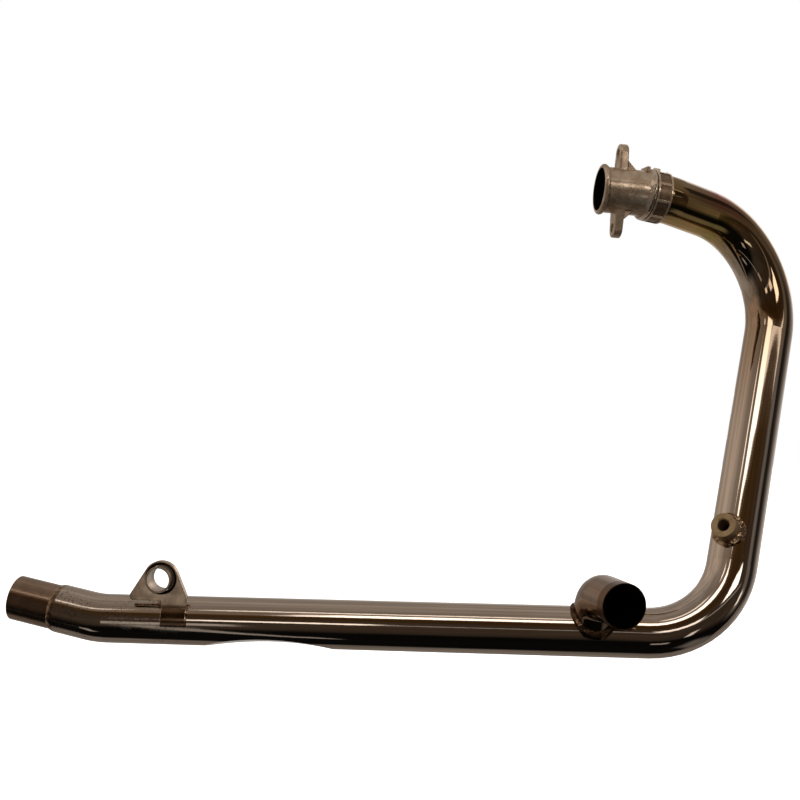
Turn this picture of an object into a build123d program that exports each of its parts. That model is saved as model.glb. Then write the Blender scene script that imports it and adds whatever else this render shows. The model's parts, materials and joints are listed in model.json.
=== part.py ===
from build123d import *
import os
from math import acos, cos, degrees, radians, sin, sqrt, tan

# Left-hand motorcycle exhaust header: a chromed double-wall pipe with a cast head spigot,
# a sensor boss, a crossover elbow, a pressed hanger bracket and an outlet spigot.
# Millimetres and degrees. The origin is the centre of the mouth that meets the cylinder head,
# +X points forward, +Y outboard and +Z up. The long lower run is level.

# Pipe sections
PIPE_OD = 45.0
PIPE_WALL = 1.2
AIR_GAP = 2.25  # between the outer pipe's bore and the inner pipe
INNER_WALL = 1.2

# Clearances
SLIP = 0.1  # radial, between tubes that slide into each other
SEAT = 0.05  # between a welded piece and the surface that it stands on

# Route of the centreline, by the corners of its straight runs and their bend radii
PORT_YAW = 6.0
PORT_PITCH = 4.5
PORT_REACH = 38.0
PORT_BEND = 24.0
COLLAR_YAW = 13.5
COLLAR_PITCH = 9.3
COLLAR_REACH = 31.0
COLLAR_BEND = 40.0
UPPER_BEND_AHEAD = 197.0
UPPER_BEND_OUT = 80.0
UPPER_BEND_DROP = 38.3
UPPER_BEND = 87.0
LOWER_BEND_AHEAD = 101.0
LOWER_BEND_IN = 60.0
LOWER_BEND = 78.0
LOWER_RUN_DROP = 404.6
REAR_BEND_BEHIND = 464.0
REAR_BEND = 85.0
OUTLET_YAW = 12.0
OUTLET_PITCH = 10.5
PIPE_TAIL = 38.0  # from the rear corner to the pipe's end

# Cast head spigot
STUB_WALL = 2.1
LIP_RISE = 2.25
LIP_WIDTH = 5.0
LIP_ROUND = 0.45  # share of the lip's width
SOCKET_STEP = 0.3  # from the pipe's surface up to the socket's
SOCKET_LENGTH = 9.2
NOSE_LENGTH = 14.0
INNER_PIPE_SETBACK = 12.0
STUD_SPACING = 70.0
STUD_HOLE = 9.0
EAR_TIP = 9.0
EAR_ROOT = 13.0
EAR_THICKNESS = 8.2
EAR_SETBACK = 15.3
EAR_EDGE = 1.5
EAR_WEB = 8.0
LUG_HEIGHT = 2.2
LUG_WIDTH = 15.0
LUG_LENGTH = 3.0
TAB_LENGTH = 5.5

# Castellated crimp collar
COLLAR_LENGTH = 14.8
COLLAR_WALL = 0.9
COLLAR_RIB_HEIGHT = 0.8
COLLAR_RIB_WIDTH = 2.6
COLLAR_RIBS = 9
COLLAR_HOOP = 1.8

# Weld beads
HEAD_WELD = 4.4
HEAD_WELD_RISE = 1.3
BOSS_WELD = 4.0
CROSSOVER_WELD = 3.0
OUTLET_WELD = 6.0
HANGER_WELD = 2.0

# Sensor boss
BOSS_ABOVE_BEND = 26.4
BOSS_TURN = 35.0
BOSS_OD = 22.5
BOSS_HEIGHT = 14.0
SENSOR_BORE = 10.8
SENSOR_MOUTH = 12.6

# Crossover elbow
CROSSOVER_OD = 39.5
CROSSOVER_WALL = 1.5
CROSSOVER_BEHIND = 10.0
CROSSOVER_LIFT = 62.0
CROSSOVER_LEAN = 4.0
CROSSOVER_STEM = 18.2  # from the pipe's surface to the elbow's corner
CROSSOVER_YAW = 13.4
CROSSOVER_DIP = 0.9
CROSSOVER_ARM = 56.4
CROSSOVER_BEND = 25.5
CROSSOVER_ROOT = 9.0

# Clearance flat pressed into the underside
FLAT_BEHIND = 303.0
FLAT_LENGTH = 120.0
FLAT_DEPTH = 6.0
FLAT_TILT = 14.0
FLAT_GAP = 0.4

# Outlet spigot
SPIGOT_REACH = 47.3
SPIGOT_INSERT = 16.0
SPIGOT_STEP = 0.3
INNER_INSERT = 12.0

# Hanger bracket and its eye
HANGER_BEHIND = 399.5
EYE_HEIGHT = 18.8  # above the top of the pipe
EYE_SLEEVE_OD = 24.0
EYE_SLEEVE_WALL = 1.8
EYE_SLEEVE_LENGTH = 22.0
EYE_SLEEVE_PROUD = 9.0
BRACKET_SHEET = 2.5
BRACKET_CROWN = 16.1
BRACKET_REAR = 29.2
BRACKET_FRONT = 23.8
BRACKET_CORNER = 4.0
BRACKET_FOOT_DIP = 1.5  # below the top of the pipe
BRACKET_RIM = 6.0
LEG_REAR = 0.5
LEG_BEND_DIP = 9.1  # below the top of the pipe
LEG_WRAP = 91.0
NOTCH_WIDTH = 7.2
NOTCH_DEPTH = 5.7
GROOVE_WIDTH = 2.6
GROOVE_DEPTH = 2.0
GROOVE_BRIDGE = 8.5

# Derived sizes
pipe_radius = PIPE_OD / 2
pipe_bore = pipe_radius - PIPE_WALL
inner_radius = pipe_bore - AIR_GAP
inner_bore = inner_radius - INNER_WALL
slip_in_radius = pipe_bore - SLIP
sleeve_bore = inner_radius + SLIP
stub_radius = sleeve_bore + STUB_WALL
socket_radius = pipe_radius + SOCKET_STEP
spigot_radius = slip_in_radius - SPIGOT_STEP
collar_bore = pipe_radius + SLIP
collar_radius = collar_bore + COLLAR_WALL
boss_radius = BOSS_OD / 2
crossover_radius = CROSSOVER_OD / 2
past_end = 2 * PIPE_WALL
UP = Vector(0, 0, 1)
STANDING = (Align.CENTER, Align.CENTER, Align.MIN)
FROM_CORNER = (Align.MIN, Align.MIN, Align.MIN)


def heading(yaw, pitch):
    """Unit vector from a yaw about +Z, measured from +X, and a pitch upwards."""
    level = cos(radians(pitch))
    return Vector(level * cos(radians(yaw)), level * sin(radians(yaw)), sin(radians(pitch)))


def point_on_run(behind):
    """Point of the lower run's centreline at a distance behind the mouth."""
    share = (lower_corner.X + behind) / (lower_corner.X - rear_corner.X)
    return lower_corner + (rear_corner - lower_corner) * share


# Corners and directions of the route
mouth = Vector(0, 0, 0)
port_axis = heading(PORT_YAW, -PORT_PITCH)
knee = port_axis * PORT_REACH
collar_axis = heading(COLLAR_YAW, -COLLAR_PITCH)
pipe_knee = knee + collar_axis * COLLAR_REACH
upper_corner = Vector(UPPER_BEND_AHEAD, UPPER_BEND_OUT, -UPPER_BEND_DROP)
lower_corner = Vector(LOWER_BEND_AHEAD, -LOWER_BEND_IN, -LOWER_RUN_DROP)
rear_corner = Vector(-REAR_BEND_BEHIND, 0, -LOWER_RUN_DROP)
outlet_axis = heading(180 - OUTLET_YAW, OUTLET_PITCH)
down_axis = (lower_corner - upper_corner).normalized()
run_axis = (rear_corner - lower_corner).normalized()
inboard = UP.cross(run_axis)
socket_end = knee + collar_axis * SOCKET_LENGTH
pipe_start = socket_end + collar_axis * SEAT
pipe_end = rear_corner + outlet_axis * PIPE_TAIL

# Sensor boss axis, square to the down pipe just above the lower bend
lower_turn = acos(down_axis.dot(run_axis))
bend_top = lower_corner - down_axis * (LOWER_BEND * tan(lower_turn / 2))
boss_seat = bend_top - down_axis * BOSS_ABOVE_BEND
boss_aim = heading(-90 - BOSS_TURN, 0)
boss_axis = (boss_aim - down_axis * boss_aim.dot(down_axis)).normalized()

# Crossover elbow's stem and arm
crossover_base = point_on_run(CROSSOVER_BEHIND)
crossover_rise = inboard * cos(radians(CROSSOVER_LIFT)) + UP * sin(radians(CROSSOVER_LIFT))
crossover_axis = crossover_rise * cos(radians(CROSSOVER_LEAN)) - run_axis * sin(radians(CROSSOVER_LEAN))
crossover_root = crossover_base + crossover_axis * CROSSOVER_ROOT
crossover_corner = crossover_base + crossover_axis * (pipe_radius + CROSSOVER_STEM)
crossover_arm = heading(CROSSOVER_YAW - 90, -CROSSOVER_DIP)
crossover_mouth = crossover_corner + crossover_arm * CROSSOVER_ARM

# Frame of the hanger: x forward along the pipe, y up and z inboard
hanger = Plane(origin=point_on_run(HANGER_BEHIND), x_dir=run_axis * -1, z_dir=inboard)
eye_rise = pipe_radius + EYE_HEIGHT
foot_rise = pipe_radius - BRACKET_FOOT_DIP
foot_depth = sqrt(pipe_radius**2 - foot_rise**2)
foot_rear = BRACKET_CORNER - BRACKET_REAR
foot_front = LEG_REAR - NOTCH_WIDTH
leg_rise = pipe_radius - LEG_BEND_DIP
leg_back = pipe_radius + SEAT
leg_start = degrees(acos(leg_rise / leg_back))
leg_width = BRACKET_FRONT - LEG_REAR
sheet_back = sqrt(leg_back**2 - leg_rise**2)
sheet_front = sheet_back + BRACKET_SHEET


def rod(start, axis, radius, length):
    """Round bar from a start point along an axis."""
    bar = Cylinder(radius, length, align=STANDING)
    return Plane(origin=start, z_dir=axis) * bar


def swept(path, axis, radius):
    """Round bar along a path that sets out along the given axis."""
    return sweep(Plane(origin=path @ 0, z_dir=axis) * Circle(radius), path=path)


def along_pipe(start, end, radius):
    """Round bar along the whole bent route between two points on its end runs."""
    corners = [start, pipe_knee, upper_corner, lower_corner, rear_corner, end]
    path = FilletPolyline(*corners, radius=[COLLAR_BEND, UPPER_BEND, LOWER_BEND, REAR_BEND])
    return swept(path, collar_axis, radius)


def along_port(end, radius):
    """Round bar from the mouth round the knee to a distance past it."""
    path = FilletPolyline(mouth, knee, knee + collar_axis * end, radius=PORT_BEND)
    return swept(path, port_axis, radius)


def along_crossover(radius):
    """Round bar along the crossover elbow, from inside the pipe to the mouth."""
    path = FilletPolyline(crossover_root, crossover_corner, crossover_mouth, radius=CROSSOVER_BEND)
    return swept(path, crossover_axis, radius)


def crossover_stem(radius):
    """Straight bar along the elbow's stem, through the walls of the pipe."""
    return rod(crossover_root, crossover_axis, radius, PIPE_OD)


def run_rod(radius):
    """Straight bar along the lower run."""
    return rod(lower_corner, run_axis, radius, (rear_corner - lower_corner).length)


def down_rod(radius):
    """Straight bar along the down pipe."""
    return rod(upper_corner, down_axis, radius, (lower_corner - upper_corner).length)


def press_tool(growth):
    """Large roller that presses the clearance flat, grown by the walls outside a surface."""
    roller = (FLAT_LENGTH**2 / 4 + FLAT_DEPTH**2) / (2 * FLAT_DEPTH)
    tilt = radians(FLAT_TILT)
    facing = inboard * sin(tilt) - UP * cos(tilt)
    centre = point_on_run(FLAT_BEHIND) + facing * (pipe_radius - FLAT_DEPTH + roller)
    across = facing.cross(run_axis)
    return rod(centre - across * PIPE_OD, across, roller + growth, 2 * PIPE_OD)


def outer_pipe():
    """Chromed outer pipe with the pressed flat and the holes for the boss and the elbow."""
    pipe = along_pipe(pipe_start, pipe_end, pipe_radius) - press_tool(0)
    bore = along_pipe(pipe_start - collar_axis * past_end, pipe_end + outlet_axis * past_end, pipe_bore)
    pipe -= bore - press_tool(PIPE_WALL)
    pipe -= rod(boss_seat, boss_axis, boss_radius + SLIP, PIPE_OD)
    return pipe - crossover_stem(crossover_radius + SLIP)


def inner_pipe():
    """Gas pipe inside the outer one, held by the head spigot's nose and the outlet spigot."""
    start = knee + collar_axis * INNER_PIPE_SETBACK
    end = pipe_end + outlet_axis * (INNER_INSERT - SPIGOT_INSERT)
    pressed = PIPE_WALL + FLAT_GAP
    pipe = along_pipe(start, end, inner_radius) - press_tool(pressed)
    bore = along_pipe(start - collar_axis * past_end, end + outlet_axis * past_end, inner_bore)
    pipe -= bore - press_tool(pressed + INNER_WALL)
    pipe -= rod(boss_seat, boss_axis, SENSOR_MOUTH / 2, PIPE_OD)
    return pipe - crossover_stem(crossover_radius - CROSSOVER_WALL)


def ear():
    """Webbed lug that takes one of the two head studs, above the mouth's axis."""
    reach = STUD_SPACING / 2
    corners = [(-EAR_ROOT, 0), (EAR_ROOT, 0), (EAR_TIP, reach), (-EAR_TIP, reach)]
    outline = Polygon(*corners, align=None) + Pos(0, reach) * Circle(EAR_TIP)
    plate = extrude(outline, EAR_THICKNESS)
    levels = plate.edges().group_by(Axis.Z)
    plate = fillet(levels[0] + levels[-1], EAR_EDGE)
    root = sqrt(stub_radius**2 - EAR_TIP**2)
    web = [(root, 0), (root, EAR_THICKNESS + EAR_WEB), (root + EAR_WEB, EAR_THICKNESS), (root + EAR_WEB, 0)]
    plate += extrude(Plane.YZ * Polygon(*web, align=None), EAR_TIP, both=True)
    return plate - Pos(0, reach) * Cylinder(STUD_HOLE / 2, EAR_THICKNESS * 3)


def head_spigot():
    """Casting that meets the cylinder head: lipped mouth, two stud ears, knee and pipe nose."""
    up = (UP - port_axis * port_axis.Z).normalized()
    face = Plane(origin=mouth, x_dir=up.cross(port_axis), z_dir=port_axis)
    socket = Plane(origin=knee, x_dir=up.cross(collar_axis), z_dir=collar_axis)
    lip = Cylinder(stub_radius + LIP_RISE, LIP_WIDTH, align=STANDING)
    body = along_port(SOCKET_LENGTH, stub_radius) + face * fillet(lip.edges(), LIP_WIDTH * LIP_ROUND)
    for turn in (0, 180):
        body += face * Pos(0, 0, EAR_SETBACK) * Rot(0, 0, turn) * ear()
    flare = SOCKET_LENGTH - HEAD_WELD
    body += socket * Cone(sleeve_bore + STUB_WALL / 3, socket_radius, flare, align=STANDING)
    body += socket * Pos(0, 0, flare) * Cylinder(socket_radius, HEAD_WELD, align=STANDING)
    lug = Box(LUG_WIDTH, LUG_HEIGHT * 2, LUG_LENGTH, align=(Align.CENTER, Align.CENTER, Align.MAX))
    body += socket * Pos(0, socket_radius, flare) * lug
    body += rod(knee, collar_axis, slip_in_radius, SOCKET_LENGTH + NOSE_LENGTH)
    return body - along_port(SOCKET_LENGTH + NOSE_LENGTH + past_end, sleeve_bore)


def crimp_collar():
    """Ribbed ring round the pipe's end, against the casting."""
    rib_radius = collar_radius + COLLAR_RIB_HEIGHT
    collar = Cylinder(collar_radius, COLLAR_LENGTH, align=STANDING)
    hoop = Cylinder(rib_radius, COLLAR_HOOP, align=STANDING)
    collar += hoop + Pos(0, 0, COLLAR_LENGTH - COLLAR_HOOP) * hoop
    bars = Cylinder(rib_radius, COLLAR_LENGTH, align=STANDING)
    for turn in range(COLLAR_RIBS):
        rib = Pos(rib_radius, 0) * Box(rib_radius, COLLAR_RIB_WIDTH, COLLAR_LENGTH, align=STANDING)
        collar += bars & (Rot(0, 0, turn * 360 / COLLAR_RIBS) * rib)
    collar += Pos(0, socket_radius) * Box(LUG_WIDTH, LUG_HEIGHT * 2, TAB_LENGTH, align=STANDING)
    collar -= Cylinder(collar_bore, COLLAR_LENGTH * 3)
    return Plane(origin=pipe_start, x_dir=UP.cross(collar_axis), z_dir=collar_axis) * collar


def head_weld():
    """Bead round the end of the casting's socket, against the collar."""
    bead = (HEAD_WELD**2 / 4 + HEAD_WELD_RISE**2) / (2 * HEAD_WELD_RISE)
    section = Pos(socket_radius + SEAT + HEAD_WELD_RISE - bead, -HEAD_WELD / 2) * Circle(bead)
    ring = revolve(Rot(90, 0, 0) * section, Axis.Z)
    ring -= Cylinder(socket_radius + SEAT, PIPE_OD)
    return Plane(origin=socket_end, z_dir=collar_axis) * ring


def sensor_boss():
    """Threaded boss that stands on the inner pipe and passes through the outer one."""
    boss = rod(boss_seat, boss_axis, boss_radius, pipe_radius + BOSS_HEIGHT)
    face = boss_seat + boss_axis * (pipe_radius + BOSS_HEIGHT)
    boss -= rod(boss_seat, boss_axis, SENSOR_BORE / 2, PIPE_OD)
    sink = (SENSOR_MOUTH - SENSOR_BORE) / 2
    cone = Cone(SENSOR_MOUTH / 2, SENSOR_BORE / 2, sink, align=STANDING)
    boss -= Plane(origin=face, z_dir=boss_axis * -1) * cone
    return boss - down_rod(inner_radius + SEAT)


def sensor_boss_weld():
    """Thick bead round the foot of the sensor boss."""
    bead = rod(boss_seat, boss_axis, boss_radius + BOSS_WELD, PIPE_OD)
    bead &= down_rod(pipe_radius + BOSS_WELD)
    bead -= rod(boss_seat, boss_axis, boss_radius + SEAT, PIPE_OD)
    return bead - down_rod(pipe_radius + SEAT)


def crossover_elbow():
    """Stub that joins this header to its twin, ending in a plain mouth that faces inboard."""
    elbow = along_crossover(crossover_radius) - along_crossover(crossover_radius - CROSSOVER_WALL)
    return elbow - run_rod(inner_radius + SEAT)


def crossover_weld():
    """Bead round the foot of the crossover elbow."""
    bead = crossover_stem(crossover_radius + CROSSOVER_WELD) & run_rod(pipe_radius + CROSSOVER_WELD)
    return bead - crossover_stem(crossover_radius + SEAT) - run_rod(pipe_radius + SEAT)


def outlet_spigot():
    """Plain sleeve at the outlet, which the silencer's inlet slides over."""
    start = pipe_end - outlet_axis * SPIGOT_INSERT
    length = SPIGOT_INSERT + SPIGOT_REACH
    sleeve = rod(start, outlet_axis, slip_in_radius, SPIGOT_INSERT + OUTLET_WELD)
    sleeve += rod(start, outlet_axis, spigot_radius, length)
    return sleeve - rod(start - outlet_axis, outlet_axis, sleeve_bore, length + past_end)


def outlet_weld():
    """Rough bead over the step from the pipe's end down to the outlet spigot."""
    foot = slip_in_radius + SEAT
    crown = (foot + 3 * pipe_radius) / 4
    root = Polyline((foot, OUTLET_WELD), (foot, SEAT), (pipe_radius, SEAT))
    face = make_face(root + ThreePointArc(root @ 1, (crown, OUTLET_WELD / 2), root @ 0))
    return Plane(origin=pipe_end, z_dir=outlet_axis) * revolve(Rot(90, 0, 0) * face, Axis.Z)


def bracket_outline():
    """Hanger's rounded triangle, in its own plane."""
    foot_y = foot_rise + BRACKET_CORNER
    rounds = (Pos(0, eye_rise) * Circle(BRACKET_CROWN)).edges()
    for foot_x in (foot_rear, BRACKET_FRONT - BRACKET_CORNER):
        rounds += (Pos(foot_x, foot_y) * Circle(BRACKET_CORNER)).edges()
    return make_hull(rounds)


def hanger_bracket():
    """Pressed bracket: a rimmed plate with an eye, a turned-in foot and a leg round the pipe."""
    outline = bracket_outline()
    bracket = extrude(Pos(0, 0, sheet_back) * outline, BRACKET_SHEET)
    rim = outline - offset(outline, -BRACKET_SHEET)
    rim -= Pos(foot_rear, foot_rise) * Rectangle(BRACKET_FRONT * 4, BRACKET_CORNER * 2)
    bracket += extrude(Pos(0, 0, sheet_front - BRACKET_RIM) * rim, BRACKET_RIM)
    flange_back = foot_depth - BRACKET_SHEET
    flange = Box(foot_front - foot_rear, BRACKET_SHEET, sheet_front - flange_back, align=FROM_CORNER)
    bracket += Pos(foot_rear, foot_rise, flange_back) * flange
    drop = foot_rise + BRACKET_CORNER - leg_rise
    bracket += Pos(LEG_REAR, leg_rise, sheet_back) * Box(leg_width, drop, BRACKET_SHEET, align=FROM_CORNER)
    strip = Pos(LEG_REAR, leg_back) * Rectangle(leg_width, BRACKET_SHEET, align=(Align.MIN, Align.MIN))
    bracket += revolve(Rot(leg_start, 0, 0) * strip, Axis.X, LEG_WRAP - leg_start)
    eye = Pos(0, eye_rise, sheet_front)
    bracket -= eye * Cylinder(EYE_SLEEVE_OD / 2 + SLIP, BRACKET_RIM * 4)
    groove = Circle(EYE_SLEEVE_OD / 2 + GROOVE_WIDTH)
    groove -= Pos(0, -EYE_SLEEVE_OD / 2) * Rectangle(GROOVE_BRIDGE, EYE_SLEEVE_OD)
    bracket -= eye * extrude(groove, -GROOVE_DEPTH)
    arch = foot_rise + NOTCH_DEPTH - NOTCH_WIDTH / 2
    notch = Box(NOTCH_WIDTH, arch - leg_rise, PIPE_OD, align=(Align.CENTER, Align.MAX, Align.MIN))
    notch += Cylinder(NOTCH_WIDTH / 2, PIPE_OD, align=STANDING)
    bracket -= Pos(LEG_REAR - NOTCH_WIDTH / 2, arch) * notch
    return hanger * bracket - run_rod(pipe_radius + SEAT)


def hanger_sleeve():
    """Eye that takes the hanger's rubber bush."""
    sleeve = Cylinder(EYE_SLEEVE_OD / 2, EYE_SLEEVE_LENGTH)
    sleeve -= Cylinder(EYE_SLEEVE_OD / 2 - EYE_SLEEVE_WALL, EYE_SLEEVE_LENGTH * 2)
    depth = sheet_front + EYE_SLEEVE_PROUD - EYE_SLEEVE_LENGTH / 2
    return hanger * Pos(0, eye_rise, depth) * sleeve


def hanger_welds():
    """Beads under the bracket's turned-in foot and along the lower edge of its leg."""
    bracket = hanger_bracket()
    edge = radians(LEG_WRAP)
    lines = [
        (foot_rear, foot_rise, foot_depth, foot_front - foot_rear),
        (LEG_REAR, leg_back * cos(edge), leg_back * sin(edge), leg_width),
    ]
    beads = []
    for x, y, z, length in lines:
        bar = Rot(0, 90, 0) * Cylinder(HANGER_WELD, length, align=STANDING)
        beads.append(hanger * Pos(x, y, z) * bar - run_rod(pipe_radius + SEAT) - bracket)
    return Compound(children=beads)


NODES = [
    head_spigot,
    crimp_collar,
    head_weld,
    outer_pipe,
    inner_pipe,
    sensor_boss,
    sensor_boss_weld,
    crossover_elbow,
    crossover_weld,
    outlet_spigot,
    outlet_weld,
    hanger_bracket,
    hanger_sleeve,
    hanger_welds,
]

os.makedirs("parts", exist_ok=True)
for node in NODES:
    export_step(node(), f"parts/{node.__name__}.step")
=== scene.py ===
import json
from math import radians

import bpy
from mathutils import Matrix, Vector


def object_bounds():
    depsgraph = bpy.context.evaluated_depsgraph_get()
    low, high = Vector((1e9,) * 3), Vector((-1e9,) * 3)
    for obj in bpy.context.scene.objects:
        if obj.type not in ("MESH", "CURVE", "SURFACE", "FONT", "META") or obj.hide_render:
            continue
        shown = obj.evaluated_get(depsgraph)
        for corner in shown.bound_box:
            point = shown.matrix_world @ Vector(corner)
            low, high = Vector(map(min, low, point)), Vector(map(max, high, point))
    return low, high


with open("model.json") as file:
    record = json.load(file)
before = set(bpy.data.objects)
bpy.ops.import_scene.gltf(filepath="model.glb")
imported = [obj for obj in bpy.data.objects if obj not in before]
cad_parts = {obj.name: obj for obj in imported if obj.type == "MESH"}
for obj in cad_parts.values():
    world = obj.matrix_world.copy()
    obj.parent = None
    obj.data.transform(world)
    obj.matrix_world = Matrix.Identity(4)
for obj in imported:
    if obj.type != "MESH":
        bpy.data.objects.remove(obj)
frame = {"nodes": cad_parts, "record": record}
cad_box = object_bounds()
nodes = frame["nodes"]
mounts = {mount["name"]: mount for mount in frame["record"]["mounts"]}


def linear(red, green, blue):
    """Linear colour from the 0 to 255 values of a screen colour."""
    channels = []
    for value in (red, green, blue):
        share = value / 255
        channels.append(share / 12.92 if share <= 0.04045 else ((share + 0.055) / 1.055) ** 2.4)
    return (*channels, 1.0)


# Camera at the photograph's viewing point: place in metres, roll in degrees, lens in millimetres
CAMERA_AT = (-0.18465, -1.135, -0.1987)
CAMERA_ROLL = 0.443
CAMERA_LENS = 54.63
SENSOR = 36.0

# Stage
WHITE = (1, 1, 1, 1)
FLOOR_GAP = 0.19  # from the lowest point of the part down to the floor
FLOOR_SIZE = 14.0
FLOOR_COLOUR = (0.9, 0.9, 0.89, 1)
FLOOR_ROUGHNESS = 0.9
FLOOR_GLOW = 1.0

# Soft boxes aimed at the middle of the part: place, power and side. They light only what is matt
SOFT_BOXES = [
    ((-0.7, -1.3, 0.6), 11.0, 0.7),
    ((0.5, 1.5, 0.7), 8.0, 0.9),
]

# Places on the part, in metres
KNEE_REACH = 0.038  # from the mouth to the casting's knee
HEAD_KNEE = Vector(mounts["head_port"]["axis"]) * -KNEE_REACH
COLLAR_AXIS = Vector((0.9596, 0.2304, -0.1616))
RIB_TOP = (0.0237, 0.0241)  # radii between which the painted highlight on the collar's ribs begins and is full
ELBOW_FOOT = Vector((-0.0097, -0.056, -0.39))
ELBOW_BAND = (0.0125, 0.0105)  # from the mouth back to where the dull band begins and is full
HANGER_FOLD = (-0.386, -0.389)  # heights between which the hanger's plate turns on to the pipe and its painted shade begins and is full
TAIL_PITS = (-0.36, -0.41)  # where the pits in the chrome begin and where they are full
HEAD_WELD_REACH = 0.06  # from the knee, round the head's weld
ELBOW_WELD_REACH = 0.05  # from the elbow's foot, round the crossover's weld

# Soot in the bores, and painted shade in the groove round the hanger's eye: radius and depth from
# the mount, in metres
PORT_SOOT = (0.0200, 0.034)
OUTLET_SOOT = (0.0200, 0.08)
EYE_SHADE = (0.0147, 0.1)
KNEE_SOOT_RADIUS = 0.0206
ELBOW_SOOT_RADIUS = 0.0190
ELBOW_SOOT_PAST = 0.003  # beyond the straight of the elbow's arm
SOOT = linear(14, 11, 9)

# Chrome and its temper colours, from the casting's knee outwards, on the top and the under side:
# darker on top as painted shade and brighter gold below as painted light
CHROME_DARK = (0.62, 0.51, 0.41, 1)
CHROME_LIGHT = (0.74, 0.62, 0.51, 1)
CHROME_PIT = (0.3, 0.21, 0.15, 1)
HEAT_REACH = 0.3
HEAT_WANDER = 0.03  # how far the edges of the colours stray in all
HEAT_FADE = (0.16, 0.27)  # from the knee to where plain chrome begins and is full
SHADE_SIDE_TILTS = (-0.35, 0.15)  # upward tilts at which the brighter underside (painted light) ends and the darker top side (painted shade) is full
HEAT_SHADED_ABOVE = [
    (0.10, (0.36, 0.25, 0.12, 1)),
    (0.20, (0.25, 0.15, 0.07, 1)),
    (0.28, (0.28, 0.11, 0.07, 1)),
    (0.38, (0.31, 0.19, 0.09, 1)),
    (0.60, (0.48, 0.34, 0.22, 1)),
    (0.90, (0.67, 0.55, 0.44, 1)),
]
HEAT_LIT_BELOW = [
    (0.10, (0.60, 0.42, 0.20, 1)),
    (0.22, (0.84, 0.56, 0.22, 1)),
    (0.29, (0.62, 0.46, 0.15, 1)),
    (0.33, (0.78, 0.54, 0.24, 1)),
    (0.43, (0.66, 0.54, 0.42, 1)),
    (0.90, (0.67, 0.55, 0.44, 1)),
]

# Shading
NOISE_RANGE = (0.3, 0.7)  # where most values of a noise lie
EDGE_TURN = (0.97, 0.85)  # cosines at which a rounded edge begins to take its painted highlight and where it is full
BEVEL_SAMPLES = 6
MIX_FACTOR, MIX_FIRST, MIX_SECOND, MIX_RESULT = 0, 6, 7, 2  # sockets of a mix node for colours

# Light all round, as seen by the chrome: angle in degrees from the front, level and warmth.
# The first runs over the top and counts for steep directions, the second runs round the sides
FULL_TURN = 360
OVER = [
    (-180, 0.42, 0.1),
    (-165, 0.24, 0.2),
    (-100, 0.17, 0.2),
    (-93, 0.004, 0.0),
    (-30, 0.003, 0.0),
    (-18, 0.04, 0.4),
    (6, 0.05, 0.6),
    (20, 0.04, 1.0),
    (40, 0.05, 1.0),
    (46, 0.2, 0.5),
    (66, 0.24, 0.3),
    (90, 0.27, 0.2),
    (108, 0.33, 0.2),
    (145, 0.27, 0.2),
    (180, 0.42, 0.1),
]
AROUND = [
    (-180, 0.45, 0.1),
    (-160, 0.32, 0.2),
    (-90, 0.26, 0.2),
    (-62, 0.12, 0.3),
    (-50, 0.05, 0.5),
    (-10, 0.05, 0.6),
    (40, 0.04, 0.6),
    (63, 0.05, 0.5),
    (67, 0.16, 0.2),
    (78, 0.13, 0.2),
    (84, 0.01, 0.2),
    (98, 0.03, 0.2),
    (118, 0.3, 0.1),
    (150, 0.6, 0.1),
    (180, 0.45, 0.1),
]
STEEP = (0.25, 0.55)  # heights of a direction at which the first begins to count and is full
UNEVEN = (0.72, 1.28)  # the levels' lowest and highest share
WARM_TINT = (0.45, 0.8)  # shares of green and blue that full warmth takes away

# Walls and windows round the part: azimuth and elevation of the middle, half width and half height,
# level, warmth
WALLS = [
    (-112, 26, 56, 28, 0.45, 0.3),
    (149, 21, 22, 19, 1.3, 0.1),
    (92, 34, 14, 11, 0.05, 0.1),
    (80, -55, 42, 11, 0.12, 0.1),
    (70, -11, 3, 7, 1.5, 0.1),
    (-50, -46, 6, 8, 0.3, 0.1),
]
WALL_EDGE = 0.45  # share of a wall's half size that is at its full level

# Lamps in front of the part: place across and up at a distance of 1, half width and half height,
# level
LAMPS = [
    (0.9, 1.02, 1.3, 0.06, 1.2),
    (-0.12, 1.13, 0.3, 0.22, 2.4),
    (0.68, 0.42, 0.28, 0.13, 2.8),
    (-0.35, 1.95, 0.38, 0.2, 1.4),
    (-0.81, 1.4, 0.1, 0.16, 1.5),
    (0.55, 0.18, 1.0, 0.03, 0.3),
    (-0.32, 0.21, 0.1, 0.06, 1.6),
    (0.16, 0.24, 0.14, 0.07, 1.6),
    (-0.46, -1.1, 0.03, 0.9, 0.3),
    (-0.43, -0.16, 0.08, 0.12, 0.4),
    (0.5, -0.45, 0.07, 0.14, 0.8),
    (0.2, -0.85, 0.12, 0.1, 0.35),
]
LAMP_EDGE = 0.75  # share of a lamp's half size that is at its full level
LAMP_WARMTH = 0.1
LEAST_AHEAD = 0.05  # least forward share that a direction is divided by on the lamps' plane


def add(tree, kind, **settings):
    """New node with the given settings."""
    made = tree.nodes.new(kind)
    for name, value in settings.items():
        setattr(made, name, value)
    return made


def feed(tree, socket, value):
    """Link an output to a socket, or set the socket's own value."""
    if isinstance(value, bpy.types.NodeSocket):
        tree.links.new(value, socket)
    else:
        socket.default_value = value


def maths(tree, operation, first, second=0.0, third=0.0):
    """Output of a math node."""
    made = add(tree, "ShaderNodeMath", operation=operation)
    for socket, value in zip(made.inputs, (first, second, third)):
        feed(tree, socket, value)
    return made.outputs[0]


def vector_maths(tree, operation, first, second, output="Vector"):
    """Output of a vector math node."""
    made = add(tree, "ShaderNodeVectorMath", operation=operation)
    feed(tree, made.inputs[0], first)
    feed(tree, made.inputs[1], second)
    return made.outputs[output]


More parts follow.
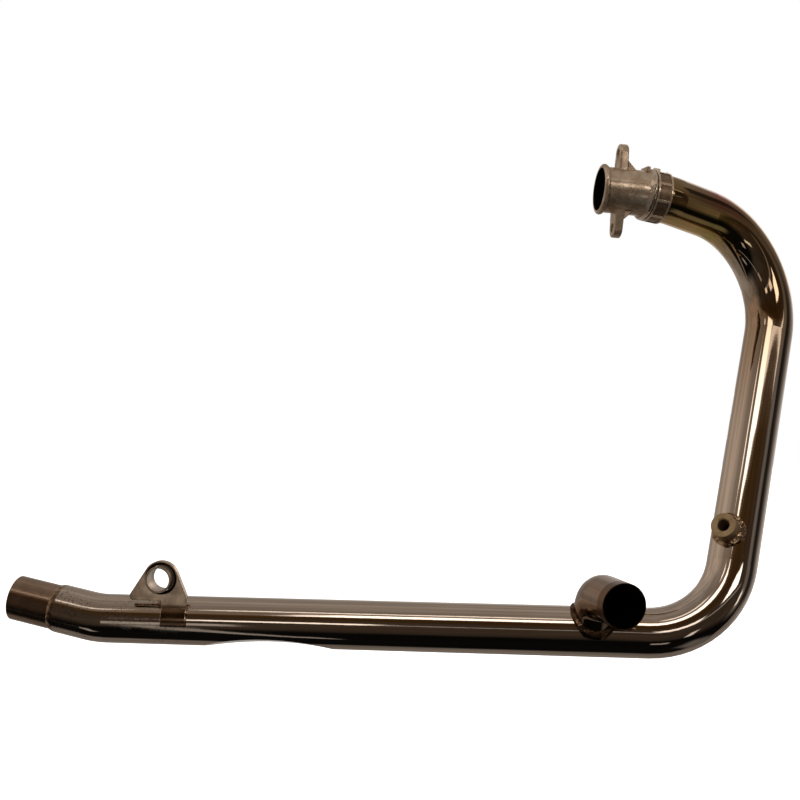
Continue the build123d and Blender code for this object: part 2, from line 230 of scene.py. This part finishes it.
def split(tree, vector):
    """X, Y and Z of a vector."""
    made = add(tree, "ShaderNodeSeparateXYZ")
    feed(tree, made.inputs[0], vector)
    return made.outputs


def from_point(tree, place, point):
    """Distance from a point."""
    return vector_maths(tree, "DISTANCE", place, point, "Value")


def from_axis(tree, place, point, axis):
    """Distance along an axis from a point on it, and distance away from the axis."""
    offset = vector_maths(tree, "SUBTRACT", place, point)
    along = vector_maths(tree, "DOT_PRODUCT", offset, axis, "Value")
    foot = add(tree, "ShaderNodeVectorMath", operation="SCALE")
    foot.inputs[0].default_value = axis
    feed(tree, foot.inputs["Scale"], along)
    return along, from_point(tree, offset, foot.outputs["Vector"])


def smooth(tree, value, none, full):
    """Smooth step from 0 at one value to 1 at the other, which may be the lower."""
    made = add(tree, "ShaderNodeMapRange", interpolation_type="SMOOTHSTEP")
    feed(tree, made.inputs["Value"], value)
    made.inputs["From Min"].default_value = none
    made.inputs["From Max"].default_value = full
    return made.outputs["Result"]


def spread(tree, value, old, new):
    """Linear change from one range to another."""
    made = add(tree, "ShaderNodeMapRange")
    feed(tree, made.inputs["Value"], value)
    for name, number in zip(("From Min", "From Max", "To Min", "To Max"), (*old, *new)):
        made.inputs[name].default_value = number
    return made.outputs["Result"]


def ramp(tree, factor, stops):
    """Colour ramp from (position, colour) stops."""
    made = add(tree, "ShaderNodeValToRGB")
    elements = made.color_ramp.elements
    while len(elements) < len(stops):
        elements.new(0.5)
    for element, (position, colour) in zip(elements, stops):
        element.position = position
        element.color = colour
    feed(tree, made.inputs["Fac"], factor)
    return made.outputs["Color"]


def mix(tree, factor, first, second):
    """Colour between two colours."""
    made = add(tree, "ShaderNodeMix", data_type="RGBA")
    feed(tree, made.inputs[MIX_FACTOR], factor)
    feed(tree, made.inputs[MIX_FIRST], first)
    feed(tree, made.inputs[MIX_SECOND], second)
    return made.outputs[MIX_RESULT]


def noise(tree, coordinates, scale, detail=3.0, rough=0.55):
    """Noise between 0 and 1."""
    made = add(tree, "ShaderNodeTexNoise")
    feed(tree, made.inputs["Vector"], coordinates)
    made.inputs["Scale"].default_value = scale
    made.inputs["Detail"].default_value = detail
    made.inputs["Roughness"].default_value = rough
    return made.outputs["Fac"]


def stretched(tree, coordinates, scale):
    """Coordinates scaled by a vector, for streaks."""
    return vector_maths(tree, "MULTIPLY", coordinates, scale)


def bump(tree, height, strength, distance, under=None):
    """Normal tilted by a height from 0 to 1, which stands for the distance in metres."""
    made = add(tree, "ShaderNodeBump")
    feed(tree, made.inputs["Height"], height)
    made.inputs["Strength"].default_value = strength
    made.inputs["Distance"].default_value = distance
    if under is not None:
        feed(tree, made.inputs["Normal"], under)
    return made.outputs["Normal"]


def face_normal(tree):
    """Normal of the surface."""
    return add(tree, "ShaderNodeNewGeometry").outputs["Normal"]


def rounded(tree, radius):
    """Normal with the edges rounded off."""
    made = add(tree, "ShaderNodeBevel", samples=BEVEL_SAMPLES)
    made.inputs["Radius"].default_value = radius
    return made.outputs["Normal"]


def edge_highlight(tree, radius):
    """1 along the edges, where the painted highlight goes, and 0 on the faces."""
    facing = vector_maths(tree, "DOT_PRODUCT", rounded(tree, radius), face_normal(tree), "Value")
    return smooth(tree, facing, *EDGE_TURN)


def metal(name, metallic=1.0):
    """New metal: its node tree, its shader and its coordinates in the part's frame."""
    made = bpy.data.materials.new(name)
    made.use_nodes = True
    tree = made.node_tree
    shader = tree.nodes["Principled BSDF"]
    shader.inputs["Metallic"].default_value = metallic
    place = add(tree, "ShaderNodeTexCoord").outputs["Object"]
    return made, tree, shader, place


def surface(tree, shader, colour, rough, normal):
    """Give a shader its colour, roughness and normal."""
    feed(tree, shader.inputs["Base Color"], colour)
    feed(tree, shader.inputs["Roughness"], rough)
    feed(tree, shader.inputs["Normal"], normal)


def inside_bore(tree, place, mount, radius, depth):
    """1 in a mount's bore, down to a depth behind it, and 0 elsewhere; and the place along it."""
    along, away = from_axis(tree, place, Vector(mount["pos_m"]), Vector(mount["axis"]))
    near = maths(tree, "LESS_THAN", away, radius)
    shallow = maths(tree, "GREATER_THAN", along, -depth)
    return maths(tree, "MULTIPLY", near, shallow), along


def chrome_pipe():
    """Bright chrome, temper-tinted near the head with painted shade on its top side and painted
    light on its underside there, with fine scratches and a pitted tail.
    """
    made, tree, shader, place = metal("chrome_pipe")
    clouds = noise(tree, place, scale=9.0, detail=4.0)
    plate = mix(tree, clouds, CHROME_DARK, CHROME_LIGHT)
    reach = from_point(tree, place, HEAD_KNEE)
    stray = noise(tree, place, scale=30.0)
    wander = maths(tree, "MULTIPLY_ADD", stray, HEAT_WANDER, -HEAT_WANDER / 2)
    burn = spread(tree, maths(tree, "ADD", reach, wander), (0.0, HEAT_REACH), (0.0, 1.0))
    # Painted light: the temper colours turn darker on the top side and brighter below
    top_shaded = smooth(tree, split(tree, face_normal(tree))["Z"], *SHADE_SIDE_TILTS)
    tint_and_light = mix(tree, top_shaded, ramp(tree, burn, HEAT_LIT_BELOW), ramp(tree, burn, HEAT_SHADED_ABOVE))
    colour = mix(tree, smooth(tree, reach, *HEAT_FADE), tint_and_light, plate)
    spots = smooth(tree, noise(tree, place, scale=620.0, detail=2.0), 0.54, 0.68)
    drift = smooth(tree, noise(tree, place, scale=26.0), 0.42, 0.58)
    tail = smooth(tree, split(tree, place)["X"], *TAIL_PITS)
    worn = maths(tree, "MULTIPLY", tail, drift)
    pits = maths(tree, "MULTIPLY", spots, worn)
    smear = noise(tree, stretched(tree, place, (6, 30, 30)), scale=4.0, detail=5.0)
    polish = spread(tree, smear, (0.3, 0.75), (0.02, 0.06))
    rough = maths(tree, "MULTIPLY_ADD", worn, 0.08, polish)
    waves = bump(tree, noise(tree, place, scale=14.0, detail=1.0), strength=0.15, distance=0.003)
    lines = noise(tree, stretched(tree, place, (3, 90, 90)), scale=12.0, detail=6.0, rough=0.7)
    scratches = bump(tree, lines, strength=0.02, distance=0.0004, under=waves)
    surface(tree, shader, mix(tree, pits, colour, CHROME_PIT), rough, scratches)
    return made


def cast_steel():
    """Rough casting, grey-brown, with soot in the mouth."""
    made, tree, shader, place = metal("cast_steel", metallic=0.74)
    patches = noise(tree, place, scale=60.0, detail=5.0, rough=0.6)
    skin = ramp(tree, patches, [
        (0.3, linear(158, 132, 106)),
        (0.5, linear(204, 178, 150)),
        (0.7, linear(240, 218, 192)),
    ])
    bore, _ = inside_bore(tree, place, mounts["head_port"], *PORT_SOOT)
    turn_in = maths(tree, "LESS_THAN", from_point(tree, place, HEAD_KNEE), KNEE_SOOT_RADIUS)
    soot = maths(tree, "MAXIMUM", bore, turn_in)
    rough = maths(tree, "MAXIMUM", spread(tree, patches, NOISE_RANGE, (0.32, 0.2)), soot)
    swell = noise(tree, place, scale=160.0, detail=2.0)
    lumps = bump(tree, swell, strength=0.15, distance=0.0008, under=rounded(tree, 0.0012))
    grain = bump(tree, noise(tree, place, scale=900.0), strength=0.08, distance=0.0003, under=lumps)
    surface(tree, shader, mix(tree, soot, skin, SOOT), rough, grain)
    return made


def plain_metal(name, dark, light, scale, rough, grain, depth):
    """Metal with mottled colour and roughness and a grain, part matt."""
    made, tree, shader, place = metal(name, metallic=0.75)
    patches = noise(tree, place, scale, detail=5.0, rough=0.6)
    colour = ramp(tree, patches, [(0.32, dark), (0.68, light)])
    marks = noise(tree, place, grain, detail=4.0)
    normal = bump(tree, marks, strength=0.3, distance=depth, under=rounded(tree, 0.0006))
    surface(tree, shader, colour, spread(tree, patches, NOISE_RANGE, rough), normal)
    return made


def collar_steel():
    """Brown pressed ring with a painted highlight on its ribs."""
    made, tree, shader, place = metal("collar_steel", metallic=0.8)
    _, away = from_axis(tree, place, HEAD_KNEE, COLLAR_AXIS)
    # Painted highlight: the tops of the ribs are lightened
    painted_highlight = smooth(tree, away, *RIB_TOP)
    patches = noise(tree, place, scale=160.0, detail=5.0, rough=0.6)
    sunk = ramp(tree, patches, [(0.3, linear(112, 88, 66)), (0.7, linear(168, 142, 114))])
    colour = mix(tree, painted_highlight, sunk, linear(232, 208, 178))
    rough = spread(tree, painted_highlight, (0.0, 1.0), (0.36, 0.2))
    normal = bump(tree, patches, strength=0.2, distance=0.0003, under=rounded(tree, 0.0006))
    surface(tree, shader, colour, rough, normal)
    return made


def chrome_bracket():
    """Brown chrome over pressed sheet, with painted shade on its leg and in the groove round the
    eye, and painted highlights on its edges.
    """
    made, tree, shader, place = metal("chrome_bracket")
    patches = noise(tree, place, scale=60.0, detail=5.0, rough=0.6)
    skin = ramp(tree, patches, [(0.32, linear(176, 150, 126)), (0.68, linear(206, 182, 156))])
    # Painted shade: the leg, where the plate turns on to the pipe, is darker
    leg = smooth(tree, split(tree, place)["Z"], *HANGER_FOLD)
    leg_shaded = mix(tree, leg, skin, linear(112, 88, 66))
    # Painted highlight: the rounded edges are lightened
    painted_highlight = mix(tree, edge_highlight(tree, 0.0014), leg_shaded, linear(244, 226, 202))
    # Painted shade: the groove round the eye is darkened and made rougher
    groove, _ = inside_bore(tree, place, mounts["hanger_eye"], *EYE_SHADE)
    colour = mix(tree, groove, painted_highlight, linear(46, 34, 25))
    polish = spread(tree, patches, NOISE_RANGE, (0.22, 0.1))
    rough = maths(tree, "MAXIMUM", polish, maths(tree, "MULTIPLY", groove, 0.6))
    edges = rounded(tree, 0.0009)
    normal = bump(tree, noise(tree, place, scale=90.0), strength=0.1, distance=0.0004, under=edges)
    surface(tree, shader, colour, rough, normal)
    return made


def weld():
    """Rippled bead: bright at the casting, dark round the crossover and straw-brown elsewhere."""
    made, tree, shader, place = metal("weld")
    ripples = noise(tree, place, scale=260.0, rough=0.5)
    straw = ramp(tree, ripples, [(0.3, linear(96, 70, 50)), (0.7, linear(196, 168, 136))])
    pale = ramp(tree, ripples, [(0.3, linear(214, 194, 170)), (0.6, linear(250, 238, 220))])
    burnt = ramp(tree, ripples, [(0.35, linear(58, 40, 26)), (0.75, linear(136, 110, 84))])
    at_head = maths(tree, "LESS_THAN", from_point(tree, place, HEAD_KNEE), HEAD_WELD_REACH)
    at_elbow = maths(tree, "LESS_THAN", from_point(tree, place, ELBOW_FOOT), ELBOW_WELD_REACH)
    colour = mix(tree, at_elbow, mix(tree, at_head, straw, pale), burnt)
    rough = spread(tree, ripples, NOISE_RANGE, (0.28, 0.1))
    beads = noise(tree, place, scale=260.0, detail=2.0)
    surface(tree, shader, colour, rough, bump(tree, beads, strength=0.35, distance=0.0016))
    return made


def chrome_elbow():
    """Brown chrome with a dull band behind the mouth and soot inside."""
    made, tree, shader, place = metal("chrome_elbow")
    clouds = noise(tree, place, scale=40.0, detail=5.0)
    skin = mix(tree, clouds, linear(134, 110, 90), linear(178, 152, 128))
    joint = mounts["crossover_joint"]
    half = joint["dims"]["length_mm"] / 2000  # half of the arm's straight, in metres
    soot, along = inside_bore(tree, place, joint, ELBOW_SOOT_RADIUS, half + ELBOW_SOOT_PAST)
    band = smooth(tree, along, half - ELBOW_BAND[0], half - ELBOW_BAND[1])
    banded = mix(tree, band, skin, linear(118, 88, 60))
    rough = maths(tree, "MAXIMUM", maths(tree, "MULTIPLY_ADD", band, 0.2, 0.08), soot)
    dents = noise(tree, place, scale=120.0, detail=4.0)
    normal = bump(tree, dents, strength=0.1, distance=0.0006)
    surface(tree, shader, mix(tree, soot, banded, SOOT), rough, normal)
    return made


def outlet_steel():
    """Worn plate with rub marks, and soot inside."""
    made, tree, shader, place = metal("outlet_steel")
    rubs = noise(tree, place, scale=42.0, detail=6.0, rough=0.7)
    skin = ramp(tree, rubs, [(0.3, linear(158, 130, 108)), (0.75, linear(190, 164, 140))])
    soot, _ = inside_bore(tree, place, mounts["outlet_joint"], *OUTLET_SOOT)
    rough = maths(tree, "MAXIMUM", spread(tree, rubs, NOISE_RANGE, (0.14, 0.26)), soot)
    normal = bump(tree, rubs, strength=0.05, distance=0.0002)
    surface(tree, shader, mix(tree, soot, skin, SOOT), rough, normal)
    return made


def dress():
    """Give each CAD node its material."""
    finishes = {
        "chrome_pipe": chrome_pipe(),
        "inner_steel": plain_metal(
            "inner_steel", dark=linear(16, 12, 10), light=linear(34, 27, 23),
            scale=80, rough=(0.8, 0.6), grain=300, depth=0.0004),
        "cast_steel": cast_steel(),
        "collar_steel": collar_steel(),
        "weld": weld(),
        "boss_steel": plain_metal(
            "boss_steel", dark=linear(170, 142, 104), light=linear(206, 180, 138),
            scale=120, rough=(0.5, 0.38), grain=500, depth=0.0003),
        "chrome_elbow": chrome_elbow(),
        "outlet_steel": outlet_steel(),
        "chrome_bracket": chrome_bracket(),
        "sleeve_steel": plain_metal(
            "sleeve_steel", dark=linear(160, 138, 116), light=linear(206, 184, 160),
            scale=90, rough=(0.4, 0.26), grain=400, depth=0.0002),
    }
    for subpart in frame["record"]["subparts"]:
        mesh = nodes[subpart["node"]].data
        mesh.materials.clear()
        mesh.materials.append(finishes[subpart["material_slot"]])


def stage():
    """Pale floor under the part, kept out of its reflections."""
    floor_height = cad_box[0][2] - FLOOR_GAP
    bpy.ops.mesh.primitive_plane_add(size=FLOOR_SIZE, location=(0, 0, floor_height))
    floor = bpy.context.object
    floor.name = "floor"
    floor.visible_glossy = False
    floor.visible_diffuse = False
    made = bpy.data.materials.new("floor")
    made.use_nodes = True
    shader = made.node_tree.nodes["Principled BSDF"]
    shader.inputs["Base Color"].default_value = FLOOR_COLOUR
    shader.inputs["Roughness"].default_value = FLOOR_ROUGHNESS
    shader.inputs["Emission Color"].default_value = WHITE
    shader.inputs["Emission Strength"].default_value = FLOOR_GLOW
    floor.data.materials.append(made)


def soft_boxes():
    """Soft lights that the chrome doesn't mirror."""
    middle = (Vector(cad_box[0]) + Vector(cad_box[1])) / 2
    for number, (place, power, side) in enumerate(SOFT_BOXES, 1):
        light = bpy.data.lights.new(f"soft_box_{number}", "AREA")
        light.energy = power
        light.size = side
        box = bpy.data.objects.new(light.name, light)
        box.location = place
        box.rotation_euler = (middle - box.location).to_track_quat("-Z", "Y").to_euler()
        box.visible_glossy = False
        bpy.context.scene.collection.objects.link(box)


def angle(tree, operation, *values):
    """Angle from a math node, in turns."""
    return maths(tree, "DIVIDE", maths(tree, operation, *values), radians(FULL_TURN))


def grey(level, warmth):
    """Light level with a warm tint."""
    less_green, less_blue = WARM_TINT
    return (level, level * (1 - less_green * warmth), level * (1 - less_blue * warmth), 1)


def levels(tree, turns, stops):
    """Light by an angle from half a turn back to half a turn on."""
    places = [(degrees + FULL_TURN / 2) / FULL_TURN for degrees, _, _ in stops]
    colours = [grey(level, warmth) for _, level, warmth in stops]
    return ramp(tree, maths(tree, "ADD", turns, 0.5), list(zip(places, colours)))


def patch(tree, glow, places, middles, halves, edge, colour):
    """Light with a patch of colour where both places lie within their halves of the middles."""
    covers = []
    for place, middle, half in zip(places, middles, halves):
        apart = maths(tree, "ABSOLUTE", maths(tree, "SUBTRACT", place, middle))
        covers.append(smooth(tree, apart, half, half * edge))
    return mix(tree, maths(tree, "MULTIPLY", *covers), glow, colour)


def studio():
    """Soft light all round, pale above and behind and dark in front, with lamps and a window."""
    world = bpy.data.worlds.new("studio")
    bpy.context.scene.world = world
    world.use_nodes = True
    tree = world.node_tree
    way = add(tree, "ShaderNodeTexCoord").outputs["Generated"]
    x, y, z = split(tree, way)
    front = maths(tree, "MULTIPLY", y, -1.0)
    swing = angle(tree, "ARCTAN2", x, front)
    over = levels(tree, angle(tree, "ARCTAN2", z, front), OVER)
    around = levels(tree, swing, AROUND)
    steep = smooth(tree, maths(tree, "ABSOLUTE", z), *STEEP)
    glow = mix(tree, steep, around, over)
    high = angle(tree, "ARCSINE", z)
    for azimuth, elevation, half_width, half_height, level, warmth in WALLS:
        middles = (azimuth / FULL_TURN, elevation / FULL_TURN)
        halves = (half_width / FULL_TURN, half_height / FULL_TURN)
        glow = patch(tree, glow, (swing, high), middles, halves, WALL_EDGE, grey(level, warmth))
    clouds = noise(tree, way, scale=5.0, detail=4.0, rough=0.6)
    glow = vector_maths(tree, "MULTIPLY", glow, spread(tree, clouds, NOISE_RANGE, UNEVEN))
    ahead = maths(tree, "MAXIMUM", front, LEAST_AHEAD)
    plane = (maths(tree, "DIVIDE", x, ahead), maths(tree, "DIVIDE", z, ahead))
    for across, up, half_width, half_height, level in LAMPS:
        halves = (half_width, half_height)
        colour = grey(level, LAMP_WARMTH)
        glow = patch(tree, glow, plane, (across, up), halves, LAMP_EDGE, colour)
    light = tree.nodes["Background"]
    feed(tree, light.inputs["Color"], glow)
    backdrop = add(tree, "ShaderNodeBackground")
    backdrop.inputs["Color"].default_value = WHITE
    choose = add(tree, "ShaderNodeMixShader")
    feed(tree, choose.inputs[0], add(tree, "ShaderNodeLightPath").outputs["Is Camera Ray"])
    feed(tree, choose.inputs[1], light.outputs[0])
    feed(tree, choose.inputs[2], backdrop.outputs[0])
    feed(tree, tree.nodes["World Output"].inputs["Surface"], choose.outputs[0])


def camera():
    """Camera at the photograph's viewing point, looking level along +Y."""
    lens = bpy.data.cameras.new("camera")
    lens.lens = CAMERA_LENS
    lens.sensor_width = SENSOR
    viewer = bpy.data.objects.new("camera", lens)
    viewer.location = CAMERA_AT
    viewer.rotation_euler = (radians(90), -radians(CAMERA_ROLL), 0)
    bpy.context.scene.collection.objects.link(viewer)
    bpy.context.scene.camera = viewer
    bpy.context.scene.view_settings.view_transform = "Standard"


dress()
stage()
soft_boxes()
studio()
camera()
